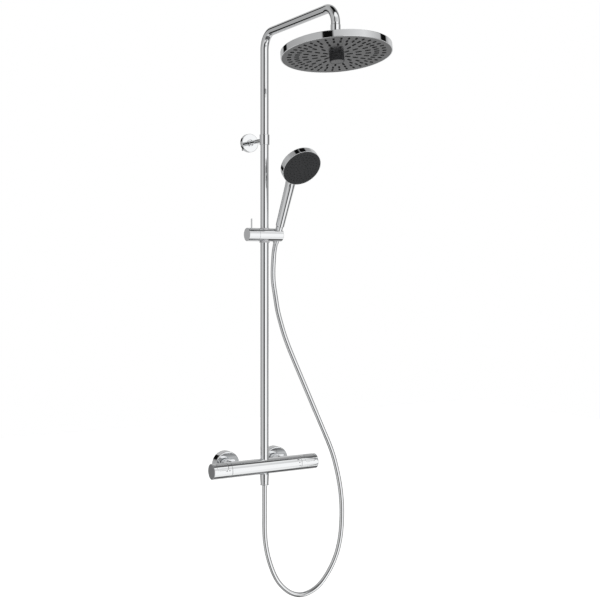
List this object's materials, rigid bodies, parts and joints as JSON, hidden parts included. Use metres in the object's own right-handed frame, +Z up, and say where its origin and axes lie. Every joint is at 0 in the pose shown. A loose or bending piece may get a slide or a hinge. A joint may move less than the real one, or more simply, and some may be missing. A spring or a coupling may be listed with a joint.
{
  "type": "rainfall shower column",
  "caption": "Wall-mounted shower column: bar thermostat, riser, swivel arm with a round rain head on a ball joint, and a handset on a sliding holder with its hose.",
  "frame": {"origin": "midpoint between the two wall inlets, on the finished wall", "axes": "+X right along the wall, +Y into the wall, +Z up along the riser"},
  "size_m": [0.3595, 0.6128, 1.5104],
  "materials": {
    "chrome": "polished chrome plate",
    "satin_chrome": "satin chrome plate",
    "brass": "turned brass",
    "steel": "stainless steel",
    "cartridge_plastic": "moulded",
    "white_plastic": "moulded",
    "grey_plastic": "moulded",
    "head_face_grey": "gloss graphite",
    "selector_dark": "gloss, ribbed sides",
    "graphite_face": "fine-grained",
    "nozzle_rubber": "silicone",
    "seal_rubber": "matte",
    "hose_sheath": "metal-effect smooth sheath"
  },
  "bodies": {
    "column": {"valve_body": "chrome", "wall_unions": "chrome", "union_nuts": "chrome", "inlet_filters": "steel", "check_valves": "white_plastic", "rosette_left": "chrome", "rosette_right": "chrome", "thermostat_cartridge": "cartridge_plastic", "diverter_cartridge": "cartridge_plastic", "cartridge_nuts": "brass", "stop_rings": "white_plastic", "outlet_nipple": "chrome", "outlet_nut": "chrome", "outlet_washer": "seal_rubber", "riser_nipple": "brass", "riser_tube": "chrome", "o_rings": "seal_rubber", "arm_coupling": "brass", "bracket_collar": "chrome", "bracket_rod": "chrome", "rod_flange": "chrome", "bracket_rosette": "chrome", "bracket_base": "steel", "wall_screws": "steel", "collar_grub_screw": "steel", "hose_upper": "hose_sheath", "hose_lower": "hose_sheath"},
    "temperature_control": {"temperature_handle": "chrome", "temperature_hub": "white_plastic", "temperature_cap": "satin_chrome", "thermostat_spindle": "brass"},
    "safety_stop": {"safety_button": "chrome"},
    "flow_control": {"flow_handle": "chrome", "flow_hub": "white_plastic", "flow_cap": "satin_chrome", "diverter_spindle": "brass"},
    "eco_stop": {"eco_button": "chrome"},
    "arm": {"arm_tube": "chrome", "arm_nut": "chrome", "arm_washer": "seal_rubber", "ball_stem": "chrome"},
    "head_pitch": {"ball_seat": "white_plastic"},
    "head_roll": {"ball_collar": "chrome"},
    "head": {"head_shell": "chrome", "head_chamber": "grey_plastic", "head_screws": "steel", "nozzle_mat": "nozzle_rubber", "head_face": "head_face_grey"},
    "selector": {"selector_knob": "selector_dark"},
    "slider": {"slider_body": "chrome", "slider_liner": "grey_plastic"},
    "clamp": {"clamp_knob": "chrome", "clamp_lever": "chrome", "clamp_pad": "white_plastic"},
    "hose_end": {"cone_nut": "chrome"},
    "handset": {"handset_handle": "chrome", "handset_shell": "chrome", "handset_face": "graphite_face", "handset_nozzles": "nozzle_rubber", "handset_water_tube": "white_plastic"}
  },
  "joints": [
    {"name": "temperature_turn", "type": "hinge", "parent": "column", "child": "temperature_control", "pos_m": [-0.13, -0.092, 0], "axis": [1, 0, 0], "range_deg": [-180, 75]},
    {"name": "safety_press", "type": "slide", "parent": "temperature_control", "child": "safety_stop", "axis": [0, 0.7071, -0.7071], "range_m": [0, 0.002], "stiffness_N_per_m": 2500, "springref_m": -0.001},
    {"name": "flow_turn", "type": "hinge", "parent": "column", "child": "flow_control", "pos_m": [0.13, -0.092, 0], "axis": [1, 0, 0], "range_deg": [-90, 90]},
    {"name": "eco_press", "type": "slide", "parent": "flow_control", "child": "eco_stop", "axis": [0, 0.7071, -0.7071], "range_m": [0, 0.002], "stiffness_N_per_m": 2500, "springref_m": -0.001},
    {"name": "arm_swivel", "type": "hinge", "parent": "column", "child": "arm", "pos_m": [0, -0.092, 0.9], "axis": [0, 0, 1], "range_deg": [-45, 45]},
    {"name": "head_tilt", "type": "hinge", "parent": "arm", "child": "head_pitch", "pos_m": [0, -0.442, 1.062], "axis": [1, 0, 0], "range_deg": [-7, 23]},
    {"name": "head_lean", "type": "hinge", "parent": "head_pitch", "child": "head_roll", "pos_m": [0, -0.442, 1.062], "axis": [0, 0.9903, -0.1392], "range_deg": [-15, 15]},
    {"name": "head_spin", "type": "hinge", "parent": "head_roll", "child": "head", "pos_m": [0, -0.442, 1.062], "axis": [0, 0.1392, 0.9903], "continuous": true},
    {"name": "selector_turn", "type": "hinge", "parent": "head", "child": "selector", "pos_m": [0, -0.442, 1.062], "axis": [0, 0.1392, 0.9903], "range_deg": [0, 90]},
    {"name": "slider_slide", "type": "slide", "parent": "column", "child": "slider", "axis": [0, 0, 1], "range_m": [-0.3, 0.18], "deforming": ["hose_upper", "hose_lower"]},
    {"name": "clamp_turn", "type": "hinge", "parent": "slider", "child": "clamp", "pos_m": [-0.04, -0.092, 0.614], "axis": [1, 0, 0], "range_deg": [0, 90]},
    {"name": "handset_lift", "type": "slide", "parent": "slider", "child": "hose_end", "axis": [0, -0.454, 0.891], "range_m": [0, 0.06], "deforming": ["hose_upper", "hose_lower"]},
    {"name": "handset_spin", "type": "hinge", "parent": "hose_end", "child": "handset", "pos_m": [0.04, -0.092, 0.614], "axis": [0, -0.454, 0.891], "continuous": true}
  ]
}
